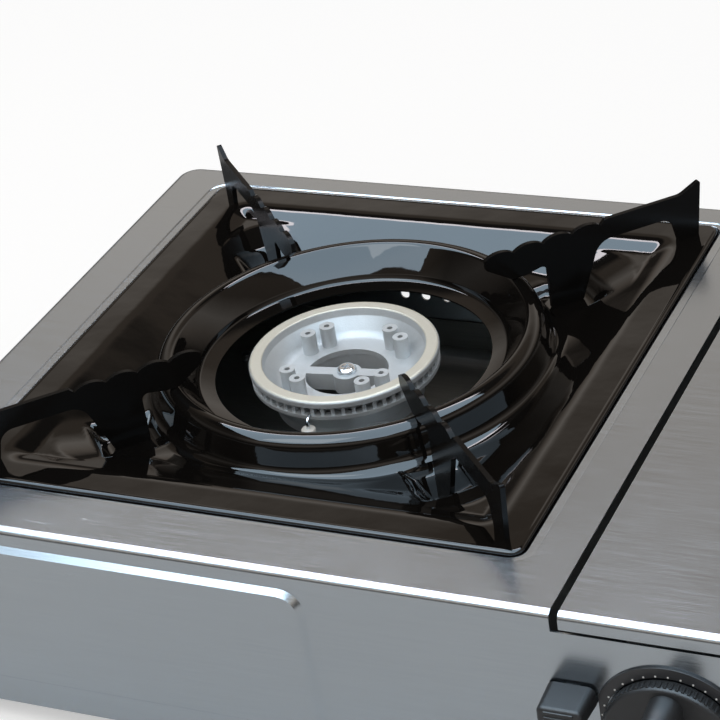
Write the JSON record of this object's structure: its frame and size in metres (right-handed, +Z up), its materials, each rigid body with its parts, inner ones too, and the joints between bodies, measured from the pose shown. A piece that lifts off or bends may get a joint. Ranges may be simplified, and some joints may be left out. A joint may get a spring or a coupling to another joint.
{
  "type": "portable gas stove",
  "caption": "Portable butane stove: satin steel casing, black lift-off drip pan with scalloped pan supports, cast ring burner, hinged cartridge lid, ignition knob and lock lever.",
  "frame": {"origin": "under the middle of the whole stove, on the table", "axes": "+X to the right, +Y to the rear, +Z up"},
  "size_m": [0.352, 0.287, 0.114],
  "materials": {
    "case_steel": "satin stainless sheet with a fine brushed grain",
    "tray_steel": "plain zinc-coated sheet",
    "black_enamel": "glossy black enamel",
    "burner_alloy": "die-cast, matt, with a machined rim",
    "valve_alloy": "die-cast, matt",
    "brass": "turned",
    "plated_steel": "zinc plated",
    "ceramic": "white glazed ceramic",
    "rubber": "matt black rubber",
    "black_plastic": "fine-grained black moulding",
    "bezel_finish": "satin dark ring"
  },
  "bodies": {
    "case": {"top_case": "case_steel", "base_tray": "tray_steel", "partition": "tray_steel", "can_cradle": "tray_steel", "burner_stand": "tray_steel", "valve_plate": "tray_steel", "lever_guide": "tray_steel", "hinge_brackets": "tray_steel", "pusher_keepers": "tray_steel", "igniter_clip": "tray_steel", "burner_head": "burner_alloy", "burner_base": "burner_alloy", "regulator_body": "valve_alloy", "gas_arm": "valve_alloy", "mixing_tube": "valve_alloy", "gas_jet": "brass", "can_nozzle": "brass", "burner_screw": "plated_steel", "foot_screws": "plated_steel", "hinge_pins": "plated_steel", "igniter_tip": "plated_steel", "igniter_ceramic": "ceramic", "rubber_feet": "rubber", "nozzle_seal": "rubber", "piezo_igniter": "black_plastic", "knob_bezel": "bezel_finish"},
    "pan": {"drip_pan": "black_enamel", "pan_support_rear_right": "black_enamel", "pan_support_rear_left": "black_enamel", "pan_support_front_left": "black_enamel", "pan_support_front_right": "black_enamel"},
    "lid": {"cartridge_lid": "case_steel"},
    "knob": {"control_knob": "black_plastic", "valve_stem": "plated_steel"},
    "lever": {"lever_handle": "black_plastic", "lever_plate": "tray_steel"},
    "pusher": {"can_pusher": "tray_steel", "pusher_pin": "plated_steel"}
  },
  "joints": [
    {"name": "pan_lift", "type": "slide", "parent": "case", "child": "pan", "axis": [0, 0, 1], "range_m": [0, 0.06]},
    {"name": "lid_hinge", "type": "hinge", "parent": "case", "child": "lid", "pos_m": [0.1007, 0.009, 0.0866], "axis": [0, -1, 0], "range_deg": [0, 100]},
    {"name": "knob_turn", "type": "hinge", "parent": "case", "child": "knob", "pos_m": [0.135, -0.1255, 0.048], "axis": [0, -1, 0], "range_deg": [0, 120]},
    {"name": "lever_slide", "type": "slide", "parent": "case", "child": "lever", "axis": [0, 0, -1], "range_m": [0, 0.014], "stiffness_N_per_m": 150, "springref_m": -0.01},
    {"name": "pusher_slide", "type": "slide", "parent": "case", "child": "pusher", "axis": [0, -1, 0], "range_m": [0, 0.006]}
  ],
  "couplings": [
    {"joint": "pusher_slide", "follows": "lever_slide", "ratio": 0.42857}
  ]
}
